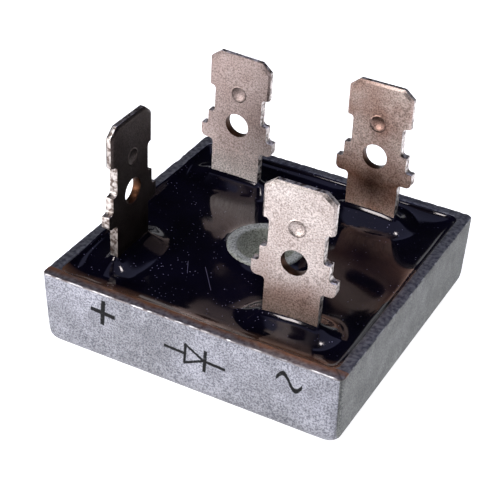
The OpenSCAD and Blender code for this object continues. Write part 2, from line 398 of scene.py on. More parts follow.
def surface_height(x, y):
    height = np.full(x.shape, fill_level)
    from_wall = wall_gap(x, y)
    height += climb(from_wall, broad_wall) + climb(from_wall, steep_wall)
    from_boss = np.hypot(x, y) - boss_radius
    height += climb(from_boss, broad_boss) + climb(from_boss, steep_boss)
    for stem in stems.values():
        straight, bowed = stem_gaps(x, y, stem)
        height += ramp(straight, fillet) + ramp(bowed, mound)
    from_crown = np.hypot(x - crown_x, y - crown_y) / crown_radius
    height += crown_rise * np.exp(-from_crown ** 2)
    uneven = np.array([swell(a, b) for a, b in zip(x.ravel(), y.ravel())])
    height += swell_height * uneven.reshape(x.shape)
    return np.minimum(height, highest)


# %% Grid of the surface, with a hole round the bore
grid_step = 0.1 * MM
in_wall = 0.2 * MM
hidden_half = cavity_half + in_wall
bore_edge = (bore_radius + boss_radius) / 2
count = int(round(2 * hidden_half / grid_step)) + 1
line = np.linspace(-hidden_half, hidden_half, count)
grid_x, grid_y = np.meshgrid(line, line, indexing="ij")
grid_z = surface_height(grid_x, grid_y)
centre_x = (grid_x[:-1, :-1] + grid_x[1:, 1:]) / 2
centre_y = (grid_y[:-1, :-1] + grid_y[1:, 1:]) / 2
kept = np.hypot(centre_x, centre_y) > bore_edge
points = np.stack([grid_x.ravel(), grid_y.ravel(), grid_z.ravel()], axis=1)
faces = []
for row, column in np.argwhere(kept):
    first = row * count + column
    faces.append((first, first + count, first + count + 1, first + 1))
epoxy = make_piece("epoxy_fill", points, faces, ["potting"])
print("epoxy surface:", len(faces), "faces, up to", round(grid_z.max() / MM, 2), "mm high")

# %% Close the surface downwards into a solid skin
skin = bmesh.new()
skin.from_mesh(epoxy.data)
bmesh.ops.delete(skin, geom=[vert for vert in skin.verts if not vert.link_faces], context="VERTS")
rim_edges = [edge for edge in skin.edges if edge.is_boundary]
for vert in {vert for edge in rim_edges for vert in edge.verts}:
    if vert.co.xy.length < boss_radius:
        vert.co.xy = vert.co.xy.normalized() * bore_edge
pulled = bmesh.ops.extrude_edge_only(skin, edges=rim_edges)
lower = [item for item in pulled["geom"] if isinstance(item, bmesh.types.BMVert)]
for vert in lower:
    vert.co.z = fill_low.z
lower_edges = [edge for edge in skin.edges if edge.is_boundary]
bmesh.ops.triangle_fill(skin, edges=lower_edges, use_beauty=True)
bmesh.ops.recalc_face_normals(skin, faces=skin.faces)
print("open edges left:", sum(edge.is_boundary for edge in skin.edges))
skin.to_mesh(epoxy.data)
skin.free()
shade_by_angle(epoxy, 80)

# %% [markdown]
# ## Blades
#
# The blades are stamped from thin sheet and tin plated. The CAD solids already have the outline,
# the bevelled head, the wire hole and the detent dimple. What they lack is the soft edge that a
# punch leaves. A modifier adds it without touching the CAD mesh: weld the points, dissolve the
# flat triangles, then bevel every sharp edge by a few hundredths of a millimetre.

# %% Soft punched edges on the four blades
edge_radius = 0.06 * MM
weld_gap = 0.002 * MM
flat_within = math.radians(0.5)
sharp_from = math.radians(35)
for name in terminal_names:
    blade = frame["nodes"]["terminal_" + name]
    weld = blade.modifiers.new("weld", "WELD")
    weld.merge_threshold = weld_gap
    flat = blade.modifiers.new("flat", "DECIMATE")
    flat.decimate_type = "DISSOLVE"
    flat.angle_limit = flat_within
    soft = blade.modifiers.new("soft_edge", "BEVEL")
    soft.width = edge_radius
    soft.segments = 2
    soft.limit_method = "ANGLE"
    soft.angle_limit = sharp_from
    soft.use_clamp_overlap = True
    blade.data.shade_smooth()
    even = blade.modifiers.new("even_shading", "WEIGHTED_NORMAL")
    even.weight = 100
print("edge radius", edge_radius / MM, "mm")

# %% [markdown]
# ## Materials
#
# Each finish is a small node tree. One function turns a hex colour to linear light, one adds a
# node with its settings and links. Patterns are laid out in object coordinates, which are metres
# here, so a grain of 0.2 mm is a noise with a scale of one over 0.2 mm.

# %% Helpers for node trees
def colour(hex_code):
    parts = [int(hex_code[i:i + 2], 16) / 255 for i in (1, 3, 5)]
    linear = [p / 12.92 if p <= 0.04045 else ((p + 0.055) / 1.055) ** 2.4 for p in parts]
    return (*linear, 1.0)


def add(tree, kind, inputs=None, out=None, stops=(), **settings):
    """Adds a node with its settings and links, and gives the output named out, or its first."""
    node = tree.nodes.new(kind)
    for name, value in settings.items():
        setattr(node, name, value)
    for key, value in (inputs or {}).items():
        named = [entry for entry in node.inputs if entry.name == key and entry.enabled]
        socket = node.inputs[key] if isinstance(key, int) else named[0]
        if isinstance(value, bpy.types.NodeSocket):
            tree.links.new(value, socket)
        else:
            socket.default_value = value
    for index, (position, hex_code) in enumerate(stops):
        elements = node.color_ramp.elements
        element = elements[index] if index < 2 else elements.new(position)
        element.position = position
        element.color = colour(hex_code)
    shown = [entry for entry in node.outputs if entry.enabled and out in (None, entry.name)]
    return shown[0] if shown else node


def start_material(name):
    material = bpy.data.materials.new(name)
    material.use_nodes = True
    material.node_tree.nodes.clear()
    return material, material.node_tree


def per_mm(size_mm):
    return 1 / (size_mm * MM)


# %% [markdown]
# ### Printed marks
#
# A plus and a wave for the DC and AC sides, and a diode sign between them, are pad printed in black
# on the front wall. Ink has no thickness worth a mesh, so each mark is a distance worked out in the
# wall's own plane, in millimetres: below zero is ink. A little noise added to the place makes the
# strokes ragged, and a coarser noise rubs some of the ink away.

# %% The straight strokes: a mark's place and turn, then each stroke's place, turn, length and width
plus_sign = (-8.08, 5.22, 4.5, [(0, 0, 0, 2.45, 0.42), (0, 0, 90, 2.6, 0.42)])
diode_sign = (0.9, 4.1, 3.0, [
    (-1.95, 0, 0, 2.0, 0.3),
    (1.95, 0, 0, 2.0, 0.3),
    (1.0, 0, 90, 2.3, 0.32),
    (-0.9, 0, 90, 2.1, 0.26),
    (-0.03, 0.5, 29, 2.2, 0.26),
    (-0.03, -0.5, -29, 2.2, 0.26),
])


def ink_bars():
    bars = []
    for x, z, turn, strokes in (plus_sign, diode_sign):
        cos, sin = math.cos(math.radians(turn)), math.sin(math.radians(turn))
        for u, v, slant, length, width in strokes:
            place_x = x + u * cos + v * sin
            place_z = z - u * sin + v * cos
            bars.append((place_x, place_z, turn + slant, length, width))
    return bars


print("straight strokes:", len(ink_bars()))

# %% Distance to the straight strokes
far_away = 9.0


def distance_to_bars(tree, place):
    nearest = far_away
    for x, z, turn, length, width in ink_bars():
        local = add(
            tree, "ShaderNodeMapping",
            {
                "Vector": place,
                "Location": (x * MM, 0, z * MM),
                "Rotation": (0, math.radians(turn), 0),
                "Scale": (MM, MM, MM),
            },
            vector_type="TEXTURE",
        )
        size = add(tree, "ShaderNodeVectorMath", {0: local}, operation="ABSOLUTE")
        gap = add(
            tree, "ShaderNodeVectorMath", {0: size, 1: (length / 2, 0, width / 2)},
            operation="SUBTRACT",
        )
        gap_u = add(tree, "ShaderNodeSeparateXYZ", {0: gap}, out="X")
        gap_v = add(tree, "ShaderNodeSeparateXYZ", {0: gap}, out="Z")
        outside = add(tree, "ShaderNodeMath", {0: gap_u, 1: gap_v}, operation="MAXIMUM")
        nearest = add(tree, "ShaderNodeMath", {0: nearest, 1: outside}, operation="MINIMUM")
    return nearest


# %% Distance to the wave: one turn of a sine, whose gap is scaled down where the line runs steep
wave_x, wave_z, wave_turn = 9.68, 5.15, 3.0
wave_length, wave_height = 2.36, 0.66
wave_reach = 1.2
steep_share = 0.6
wave_stroke = 0.31


def distance_to_wave(tree, place):
    local = add(
        tree, "ShaderNodeMapping",
        {
            "Vector": place,
            "Location": (wave_x * MM, 0, wave_z * MM),
            "Rotation": (0, math.radians(wave_turn), 0),
            "Scale": (MM, MM, MM),
        },
        vector_type="TEXTURE",
    )
    u = add(tree, "ShaderNodeSeparateXYZ", {0: local}, out="X")
    v = add(tree, "ShaderNodeSeparateXYZ", {0: local}, out="Z")
    phase = add(tree, "ShaderNodeMath", {0: u, 1: 2 * math.pi / wave_length}, operation="MULTIPLY")
    wave = add(tree, "ShaderNodeMath", {0: phase}, operation="SINE")
    gap = add(tree, "ShaderNodeMath", {0: wave, 1: wave_height, 2: v}, operation="MULTIPLY_ADD")
    gap = add(tree, "ShaderNodeMath", {0: gap}, operation="ABSOLUTE")
    thin = add(
        tree, "ShaderNodeMath", {0: gap, 1: steep_share, 2: -wave_stroke / 2},
        operation="MULTIPLY_ADD",
    )
    length = add(tree, "ShaderNodeMath", {0: u}, operation="ABSOLUTE")
    beyond = add(tree, "ShaderNodeMath", {0: length, 1: wave_reach}, operation="SUBTRACT")
    return add(tree, "ShaderNodeMath", {0: thin, 1: beyond}, operation="MAXIMUM")


# %% Ink where the distance is below zero, ragged and a little rubbed
ragged_mm, ragged_by = 0.3, 0.12 * MM
front_depth = 0.5 * MM
ink_blur = 0.03
rubbed_mm = 0.25
ink_left = 0.88


def printed_marks(tree, place):
    wobble = add(
        tree, "ShaderNodeTexNoise", {"Vector": place, "Scale": per_mm(ragged_mm)}, out="Color"
    )
    shift = add(
        tree, "ShaderNodeVectorMath", {0: wobble, 1: (0.5, 0.5, 0.5)}, operation="SUBTRACT"
    )
    ragged = add(
        tree, "ShaderNodeVectorMath", {0: shift, 1: (ragged_by,) * 3, 2: place},
        operation="MULTIPLY_ADD",
    )
    bars = distance_to_bars(tree, ragged)
    wave = distance_to_wave(tree, ragged)
    nearest = add(tree, "ShaderNodeMath", {0: bars, 1: wave}, operation="MINIMUM")
    depth = add(tree, "ShaderNodeSeparateXYZ", {"Vector": place}, out="Y")
    on_front = add(
        tree, "ShaderNodeMath", {0: depth, 1: front_depth - case_half}, operation="LESS_THAN"
    )
    ink = add(
        tree, "ShaderNodeMapRange",
        {"Value": nearest, "From Min": -ink_blur, "From Max": ink_blur, "To Min": 1.0, "To Max": 0.0},
    )
    rub = add(
        tree, "ShaderNodeTexNoise", {"Vector": place, "Scale": per_mm(rubbed_mm), "Detail": 3.0}
    )
    left = add(
        tree, "ShaderNodeMapRange",
        {"Value": rub, "From Min": 0.3, "From Max": 0.42, "To Min": ink_left, "To Max": 1.0},
    )
    ink = add(tree, "ShaderNodeMath", {0: ink, 1: on_front}, operation="MULTIPLY")
    return add(tree, "ShaderNodeMath", {0: ink, 1: left}, operation="MULTIPLY")


# %% [markdown]
# ### Die-cast aluminium
#
# A cast skin is a satin metal: matt enough to hide reflections, with a sandy grain from the mould,
# drawn a little coarser than it is so that it shows, and soft grey mottles where the skin is
# thicker. Metallic is 1, the roughness is 0.5 and up, and the metal keeps the default IOR. The
# right side is painted darker, as shade from the light that falls from the left. The rim is
# speckled and painted dark, as shade for the dark room it mirrors, and stained brown where epoxy
# ran along the front. Its outer edge is rubbed smoother and painted bright as a highlight. The boss
# is paler and rougher, and a dark line of painted shade runs down two opposite corners. Each of
# these is a mask worked out from the place, which lays one tone over the one before.

# %% The skin: mottles, sandy grain and broad clouds
grain_mm = 0.16
mottle_mm = 1.5
cloud_mm = 9.0


def cast_skin(tree, place, grain, mottle):
    cloud = add(
        tree, "ShaderNodeTexNoise", {"Vector": place, "Scale": per_mm(cloud_mm), "Detail": 2.0}
    )
    skin = add(
        tree, "ShaderNodeValToRGB", {"Fac": mottle}, stops=[(0.32, "#9C9CA3"), (0.66, "#B9B9C1")]
    )
    sand = add(
        tree, "ShaderNodeValToRGB", {"Fac": grain}, stops=[(0.36, "#A6A6AC"), (0.6, "#FFFFFF")]
    )
    clouds = add(
        tree, "ShaderNodeValToRGB", {"Fac": cloud}, stops=[(0.35, "#E4E4E2"), (0.65, "#FFFFFF")]
    )
    for layer in (sand, clouds):
        skin = add(
            tree, "ShaderNodeMix", {"Factor": 1.0, "A": skin, "B": layer},
            data_type="RGBA", blend_type="MULTIPLY",
        )
    return skin


# %% Painted shade: the right side made darker and greener, as the light falls from the left
right_depth = 0.3 * MM


def shaded_right_side(tree, axes, skin):
    on_right = add(
        tree, "ShaderNodeMath", {0: axes["X"], 1: case_half - right_depth}, operation="GREATER_THAN"
    )
    # the skin times a grey green: painted shade on the right side
    painted_shade_tone = add(
        tree, "ShaderNodeMix", {"Factor": 1.0, "A": skin, "B": colour("#C6C8BC")},
        data_type="RGBA", blend_type="MULTIPLY",
    )
    return add(
        tree, "ShaderNodeMix", {"Factor": on_right, "A": skin, "B": painted_shade_tone}, data_type="RGBA"
    )


# %% The speckled rim, painted dark as shade, with its stain along the front
rim_from, rim_full = case_height - 0.22 * MM, case_height - 0.05 * MM
rim_inset = 0.3 * MM
speckle_mm = 0.4
stain_from, stain_full = -cavity_half - 0.7 * MM, -cavity_half - 0.15 * MM
stain_end = -cavity_half + 0.1 * MM
stain_mm = 1.2


def rim_shade_and_stain(tree, place, axes, side, skin):
    at_top = add(
        tree, "ShaderNodeMapRange",
        {"Value": axes["Z"], "From Min": rim_from, "From Max": rim_full},
    )
    on_wall = add(
        tree, "ShaderNodeMath", {0: side, 1: cavity_half - rim_inset}, operation="GREATER_THAN"
    )
    on_rim = add(tree, "ShaderNodeMath", {0: at_top, 1: on_wall}, operation="MULTIPLY")
    speckle = add(
        tree, "ShaderNodeTexNoise", {"Vector": place, "Scale": per_mm(speckle_mm), "Detail": 3.0}
    )
    # the rim's tone is painted dark as shade, for the dark room the rim mirrors; the speckle is grain
    rim_shade_tone = add(
        tree, "ShaderNodeValToRGB", {"Fac": speckle}, stops=[(0.36, "#5A5A60"), (0.62, "#8E8D90")]
    )
    skin = add(
        tree, "ShaderNodeMix", {"Factor": on_rim, "A": skin, "B": rim_shade_tone}, data_type="RGBA"
    )

    stain = add(
        tree, "ShaderNodeMapRange",
        {
            "Value": axes["Y"],
            "From Min": stain_from, "From Max": stain_full, "To Min": 0.25, "To Max": 1.5,
        },
    )
    at_front = add(tree, "ShaderNodeMath", {0: axes["Y"], 1: stain_end}, operation="LESS_THAN")
    blotches = add(
        tree, "ShaderNodeTexNoise", {"Vector": place, "Scale": per_mm(stain_mm), "Detail": 4.0}
    )
    for mask in (at_front, on_rim, blotches):
        stain = add(tree, "ShaderNodeMath", {0: stain, 1: mask}, operation="MULTIPLY")
    return add(
        tree, "ShaderNodeMix", {"Factor": stain, "A": skin, "B": colour("#A56F48")},
        data_type="RGBA",
    )


# %% The rubbed edge of the rim, smoother and painted bright as a highlight: the sum of side and height is greatest there
crest = case_half + case_height
crest_from, crest_full = crest - 0.11 * MM, crest - 0.08 * MM


def rubbed_edge_and_highlight(tree, axes, side, mottle):
    # near white on a thin band of the outer rim edge: rubbed metal, and a painted highlight
    corner = add(tree, "ShaderNodeMath", {0: side, 1: axes["Z"]}, operation="ADD")
    edge = add(
        tree, "ShaderNodeMapRange",
        {"Value": corner, "From Min": crest_from, "From Max": crest_full},
    )
    knocks = add(
        tree, "ShaderNodeMapRange", {"Value": mottle, "From Min": 0.42, "From Max": 0.54}
    )
    return add(tree, "ShaderNodeMath", {0: edge, 1: knocks}, operation="MULTIPLY")


# %% Painted shade: a dark line down two opposite upright corners, where the light turns away
line_strength = 0.5
line_core, line_edge = 0.05 * MM, 0.2 * MM


def corner_shade_line(tree, axes, side):
    # a dark line where x and y cancel, out on the wall: painted shade at the rounded corners
    diagonal = add(tree, "ShaderNodeMath", {0: axes["X"], 1: axes["Y"]}, operation="ADD")
    diagonal = add(tree, "ShaderNodeMath", {0: diagonal}, operation="ABSOLUTE")
    corner_shade = add(
        tree, "ShaderNodeMapRange",
        {
            "Value": diagonal,
            "From Min": line_core, "From Max": line_edge, "To Min": line_strength, "To Max": 0.0,
        },
    )
    outer = add(tree, "ShaderNodeMath", {0: side, 1: cavity_half}, operation="GREATER_THAN")
    return add(tree, "ShaderNodeMath", {0: corner_shade, 1: outer}, operation="MULTIPLY")


# %% Die-cast aluminium
def cast_aluminium():
    material, tree = start_material("die_cast_aluminium")
    place = add(tree, "ShaderNodeTexCoord", out="Object")
    axes = {axis: add(tree, "ShaderNodeSeparateXYZ", {0: place}, out=axis) for axis in "XYZ"}
    side_x = add(tree, "ShaderNodeMath", {0: axes["X"]}, operation="ABSOLUTE")
    side_y = add(tree, "ShaderNodeMath", {0: axes["Y"]}, operation="ABSOLUTE")
    side = add(tree, "ShaderNodeMath", {0: side_x, 1: side_y}, operation="MAXIMUM")
    grain = add(
        tree, "ShaderNodeTexNoise", {"Vector": place, "Scale": per_mm(grain_mm), "Detail": 4.0}
    )
    mottle = add(
        tree, "ShaderNodeTexNoise", {"Vector": place, "Scale": per_mm(mottle_mm), "Detail": 5.0}
    )

    skin = cast_skin(tree, place, grain, mottle)
    skin = shaded_right_side(tree, axes, skin)
    skin = rim_shade_and_stain(tree, place, axes, side, skin)
    pale = add(
        tree, "ShaderNodeValToRGB", {"Fac": grain}, stops=[(0.3, "#84867F"), (0.6, "#D2D3CD")]
    )
    on_boss = add(tree, "ShaderNodeMath", {0: side, 1: boss_radius * 1.03}, operation="LESS_THAN")
    rubbed_and_highlight = rubbed_edge_and_highlight(tree, axes, side, mottle)
    corner_shade = corner_shade_line(tree, axes, side)
    ink = printed_marks(tree, place)
    # over the skin: the pale boss, the rubbed edge with its painted highlight, the corner line of
    # painted shade, and the ink
    layers = [
        (on_boss, pale), (rubbed_and_highlight, colour("#EDEDEF")),
        (corner_shade, colour("#3A3A3C")), (ink, colour("#050508")),
    ]
    for mask, tone in layers:
        skin = add(
            tree, "ShaderNodeMix", {"Factor": mask, "A": skin, "B": tone}, data_type="RGBA"
        )

    rough = add(
        tree, "ShaderNodeMapRange",
        {"Value": grain, "From Min": 0.3, "From Max": 0.7, "To Min": 0.5, "To Max": 0.62},
    )
    for mask, level in [(rubbed_and_highlight, 0.32), (on_boss, 0.85)]:
        rough = add(
            tree, "ShaderNodeMix", {"Factor": mask, "A": rough, "B": level}, data_type="FLOAT"
        )
    metallic = add(tree, "ShaderNodeMath", {0: 1.0, 1: ink}, operation="SUBTRACT")
    bump = add(
        tree, "ShaderNodeBump", {"Height": grain, "Strength": 0.5, "Distance": 0.03 * MM}
    )
    shader = add(
        tree, "ShaderNodeBsdfPrincipled",
        {"Base Color": skin, "Metallic": metallic, "Roughness": rough, "Normal": bump,
         "Specular IOR Level": 0.15},
    )
    add(tree, "ShaderNodeOutputMaterial", {"Surface": shader})
    return material


cup.data.materials.append(cast_aluminium())
print("nodes in the cast aluminium:", len(cup.data.materials[0].node_tree.nodes))

# %% [markdown]
# ### Casting epoxy
#
# The filling is a black two-part epoxy that set with a wet gloss: a dielectric with an IOR of
# about 1.55 and a low roughness. Its highlights are a little dimmed, since it isn't quite clean.
# Along the front wall it is coloured amber brown. Dust and two short hairs have
# settled on it, which are paler and rougher than the gloss.

# %% Fine dust, thicker in some clouds than in others
dust_mm = 0.45


def dust_specks(tree, place, cloud):
    specks = add(
        tree, "ShaderNodeTexVoronoi", {"Vector": place, "Scale": per_mm(dust_mm)}, out="Distance"
    )
    dust = add(
        tree, "ShaderNodeMapRange",
        {"Value": specks, "From Min": 0.08, "From Max": 0.13, "To Min": 1.0, "To Max": 0.0},
    )
    sparse = add(
        tree, "ShaderNodeMapRange",
        {"Value": cloud, "From Min": 0.42, "From Max": 0.62, "To Min": 0.1, "To Max": 1.0},
    )
    return add(tree, "ShaderNodeMath", {0: dust, 1: sparse}, operation="MULTIPLY")


# %% Two hairs: where each lies, its turn and its length
hairs = [(-2.2, -6.6, -52, 3.3), (-4.6, -6.0, -62, 1.8)]
hair_strength = 0.5


def with_hairs(tree, place, dust):
    for x, y, turn, length in hairs:
        local = add(
            tree, "ShaderNodeMapping",
            {
                "Vector": place,
                "Location": (x * MM, y * MM, 0),
                "Rotation": (0, 0, math.radians(turn)),
                "Scale": (MM, MM, MM),
            },
            vector_type="TEXTURE",
        )
        size = add(tree, "ShaderNodeVectorMath", {0: local}, operation="ABSOLUTE")
        gap = add(
            tree, "ShaderNodeVectorMath", {0: size, 1: (length / 2, 0, 0)}, operation="SUBTRACT"
        )
        beyond = add(tree, "ShaderNodeSeparateXYZ", {0: gap}, out="X")
        beside = add(tree, "ShaderNodeSeparateXYZ", {0: gap}, out="Y")
        outside = add(tree, "ShaderNodeMath", {0: beyond, 1: beside}, operation="MAXIMUM")
        hair = add(
            tree, "ShaderNodeMapRange",
            {
                "Value": outside,
                "From Min": 0.01, "From Max": 0.04, "To Min": hair_strength, "To Max": 0.0,
            },
        )
        dust = add(tree, "ShaderNodeMath", {0: dust, 1: hair}, operation="MAXIMUM")
    return dust


# %% Casting epoxy
brown_from, brown_to = 0.3 * MM, 1.7 * MM
cloud_width, break_width = 4.0, 1.6


def casting_epoxy():
    material, tree = start_material("black_casting_epoxy")
    place = add(tree, "ShaderNodeTexCoord", out="Object")
    cloud = add(
        tree, "ShaderNodeTexNoise", {"Vector": place, "Scale": per_mm(cloud_width), "Detail": 3.0}
    )
    tone = add(
        tree, "ShaderNodeValToRGB", {"Fac": cloud}, stops=[(0.35, "#04030C"), (0.7, "#0A0818")]
    )
    depth = add(tree, "ShaderNodeSeparateXYZ", {0: place}, out="Y")
    # amber brown laid along the front wall, fading with the distance from it and broken by noise
    thin = add(
        tree, "ShaderNodeMapRange",
        {
            "Value": depth,
            "From Min": -cavity_half + brown_from, "From Max": -cavity_half + brown_to,
            "To Min": 1.3, "To Max": 0.0,
        },
    )
    broken = add(
        tree, "ShaderNodeTexNoise", {"Vector": place, "Scale": per_mm(break_width), "Detail": 3.0}
    )
    thin = add(tree, "ShaderNodeMath", {0: thin, 1: broken}, operation="MULTIPLY")
    dust = with_hairs(tree, place, dust_specks(tree, place, cloud))
    for mask, hex_code in [(thin, "#7E5A44"), (dust, "#7A7690")]:
        tone = add(
            tree, "ShaderNodeMix", {"Factor": mask, "A": tone, "B": colour(hex_code)},
            data_type="RGBA",
        )
    rough = add(tree, "ShaderNodeMapRange", {"Value": dust, "To Min": 0.09, "To Max": 0.6})
    shader = add(
        tree, "ShaderNodeBsdfPrincipled",
        {"Base Color": tone, "Roughness": rough, "IOR": 1.55, "Specular Tint": colour("#B4ACAC")},
    )
    add(tree, "ShaderNodeOutputMaterial", {"Surface": shader})
    return material


epoxy.data.materials.append(casting_epoxy())
print("hairs on the epoxy:", len(hairs))

# %% [markdown]
# ### Tin plating over copper alloy
#
# The blades are plated with a few micrometres of matt tin, so the warm copper alloy under it tints
# them. Soldering heat has browned the front and negative blades low down, and burnt the negative
# one below its hole. The rear blade is painted paler towards its base, a painted light where the
# cup hides the glowing paper from it, and the positive blade is painted dark all over, a painted
# shade where its face in view mirrors the black epoxy. The grain of the plating is a sparkle in
# colour, roughness and bump. Tin crystals are finer than a seventh of a millimetre, and are drawn
# that coarse so that they show. The punch tore the cut edges, which sparkle more coarsely and are
# painted with dark patches of shade, and left bare brown metal in the wire holes. Round each dimple
# it raised a lip that is too fine for the mesh, so it is drawn as bump and painted darker as shade.

# %% The tone of the plating: by height over the rim, with worn patches
blade_rise = 13.0
tone_start = 1.2
patch_mm = 3.0
patch_shift = 2.4 * MM


def plating_tone(tree, place, patch, by_height, patch_hex):
    height = add(tree, "ShaderNodeSeparateXYZ", {0: place}, out="Z")
    uneven = add(
        tree, "ShaderNodeMath", {0: patch, 1: patch_shift, 2: height}, operation="MULTIPLY_ADD"
    )
    level = add(
        tree, "ShaderNodeMapRange",
        {
            "Value": uneven,
            "From Min": case_height + tone_start * MM,
            "From Max": case_height + (tone_start + blade_rise) * MM,
        },
    )
    # the tones by height hold soldering tints, and on the rear and positive blades painted light and
    # shade too
    stops = [(above / blade_rise, hex_code) for above, hex_code in by_height]
    tone = add(tree, "ShaderNodeValToRGB", {"Fac": level}, stops=stops)
    worn = add(
        tree, "ShaderNodeValToRGB", {"Fac": patch}, stops=[(0.3, patch_hex), (0.65, "#FFFFFF")]
    )
    return add(
        tree, "ShaderNodeMix", {"Factor": 1.0, "A": tone, "B": worn},
        data_type="RGBA", blend_type="MULTIPLY",
    )


# %% The burn, a blotch with an uneven outline below the wire hole
burn_drop = 2.9 * MM
burn_radius, burn_fade = 1.2 * MM, 1.7 * MM
burn_uneven = 2.0 * MM


def burnt_spot(tree, place, patch, spot, tone):
    away = add(
        tree, "ShaderNodeVectorMath", {0: place, 1: spot}, out="Value", operation="DISTANCE"
    )
    away = add(
        tree, "ShaderNodeMath", {0: patch, 1: burn_uneven, 2: away}, operation="MULTIPLY_ADD"
    )
    burnt = add(
        tree, "ShaderNodeMapRange",
        {
            "Value": away,
            "From Min": burn_radius, "From Max": burn_radius + burn_fade,
            "To Min": 1.0, "To Max": 0.0,
        },
    )
    return add(
        tree, "ShaderNodeMix", {"Factor": burnt, "A": tone, "B": colour("#3C261E")},
        data_type="RGBA",
    )


# %% The lip of the detent dimple: a ring at an even distance from a point inside the blade
dimple_drop = 3.85 * MM
dimple_lip, lip_half = 0.82 * MM, 0.11 * MM


def lip_of_dimple(tree, place, dimple_at):
    away = add(
        tree, "ShaderNodeVectorMath", {0: place, 1: dimple_at}, out="Value", operation="DISTANCE"
    )
    off_lip = add(tree, "ShaderNodeMath", {0: away, 1: dimple_lip}, operation="SUBTRACT")
    off_lip = add(tree, "ShaderNodeMath", {0: off_lip}, operation="ABSOLUTE")
    return add(
        tree, "ShaderNodeMapRange",
        {"Value": off_lip, "From Min": 0.0, "From Max": lip_half, "To Min": 1.0, "To Max": 0.0},
    )


# %% The torn cut edges, with patches of painted shade, and bare metal in the wire hole
torn_mm = 0.4
hole_reach = 1.6 * MM


def torn_edges_and_shade(tree, place, tears, torn_hex, hole_at):
    # the dark low end of the tears is painted shade along the cut edges
    torn_and_shaded = add(
        tree, "ShaderNodeValToRGB", {"Fac": tears}, stops=[(0.38, "#63554F"), (0.6, torn_hex)]
    )
    away = add(
        tree, "ShaderNodeVectorMath", {0: place, 1: hole_at}, out="Value", operation="DISTANCE"
    )
    in_hole = add(tree, "ShaderNodeMath", {0: away, 1: hole_reach}, operation="LESS_THAN")
    return add(
        tree, "ShaderNodeMix", {"Factor": in_hole, "A": torn_and_shaded, "B": colour("#4A3022")},
        data_type="RGBA",
    )


def cut_edge_mask(tree, face_axis):
    normal = add(tree, "ShaderNodeNewGeometry", out="True Normal")
    squarely = add(
        tree, "ShaderNodeVectorMath", {0: normal, 1: face_axis}, out="Value",
        operation="DOT_PRODUCT",
    )
    squarely = add(tree, "ShaderNodeMath", {0: squarely}, operation="ABSOLUTE")
    return add(tree, "ShaderNodeMath", {0: squarely, 1: 0.5}, operation="LESS_THAN")


# %% Roughness and relief: grain on the faces, tears on the cut edges, and the raised lip
rough_range = 0.16


def plating_surface(tree, grain, tears, sheared, lip, rough_low):
    rough = add(
        tree, "ShaderNodeMapRange",
        {
            "Value": grain, "From Min": 0.3, "From Max": 0.7,
            "To Min": rough_low, "To Max": rough_low + rough_range,
        },
    )
    relief = add(
        tree, "ShaderNodeMix", {"Factor": sheared, "A": grain, "B": tears}, data_type="FLOAT"
    )
    raised = add(
        tree, "ShaderNodeBump", {"Height": lip, "Strength": 1.0, "Distance": 0.05 * MM}
    )
    bump = add(
        tree, "ShaderNodeBump",
        {"Height": relief, "Strength": 0.6, "Distance": 0.03 * MM, "Normal": raised},
    )
    return rough, bump


# %% Tin plating, put together for one blade
sparkle_mm = 0.14
lip_shade = 0.35


def tin_plating(side, name, by_height, patch_hex, torn_hex, rough_low, burnt):
    material, tree = start_material(name)
    hole, blade = mounts["wire_hole_" + side], mounts["blade_" + side]
    hole_at, hole_axis = Vector(hole["pos_m"]), Vector(hole["axis"])
    blade_axis = Vector(blade["axis"])
    place = add(tree, "ShaderNodeTexCoord", out="Object")
    grain = add(
        tree, "ShaderNodeTexNoise", {"Vector": place, "Scale": per_mm(sparkle_mm), "Detail": 2.0}
    )
    patch = add(
        tree, "ShaderNodeTexNoise", {"Vector": place, "Scale": per_mm(patch_mm), "Detail": 4.0}
    )
    tears = add(
        tree, "ShaderNodeTexNoise",
        {"Vector": place, "Scale": per_mm(torn_mm), "Detail": 3.0, "Distortion": 0.6},
    )

    tone = plating_tone(tree, place, patch, by_height, patch_hex)
    if burnt:
        tone = burnt_spot(tree, place, patch, hole_at - blade_axis * burn_drop, tone)
    dimple_at = Vector(blade["pos_m"]) - blade_axis * dimple_drop
    lip = lip_of_dimple(tree, place, dimple_at)
    # the lip is also painted darker, as painted shade of its relief
    shaded = add(tree, "ShaderNodeMath", {0: lip, 1: lip_shade}, operation="MULTIPLY")
    tone = add(
        tree, "ShaderNodeMix", {"Factor": shaded, "A": tone, "B": colour("#6E625C")},
        data_type="RGBA",
    )
    sparkle = add(
        tree, "ShaderNodeValToRGB", {"Fac": grain}, stops=[(0.33, "#B2ADAA"), (0.63, "#FFFFFF")]
    )
    tone = add(
        tree, "ShaderNodeMix", {"Factor": 1.0, "A": tone, "B": sparkle},
        data_type="RGBA", blend_type="MULTIPLY",
    )
    torn_and_shaded = torn_edges_and_shade(tree, place, tears, torn_hex, hole_at)
    sheared = cut_edge_mask(tree, hole_axis)
    tone = add(
        tree, "ShaderNodeMix", {"Factor": sheared, "A": tone, "B": torn_and_shaded}, data_type="RGBA"
    )
    rough, bump = plating_surface(tree, grain, tears, sheared, lip, rough_low)
    shader = add(
        tree, "ShaderNodeBsdfPrincipled",
        {"Base Color": tone, "Metallic": 1.0, "Roughness": rough, "Normal": bump},
    )
    add(tree, "ShaderNodeOutputMaterial", {"Surface": shader})
    return material


# %% The four platings, each with its tones by height over the rim in millimetres
def give(node_name, material):
    mesh = frame["nodes"][node_name].data
    mesh.materials.clear()
    mesh.materials.append(material)


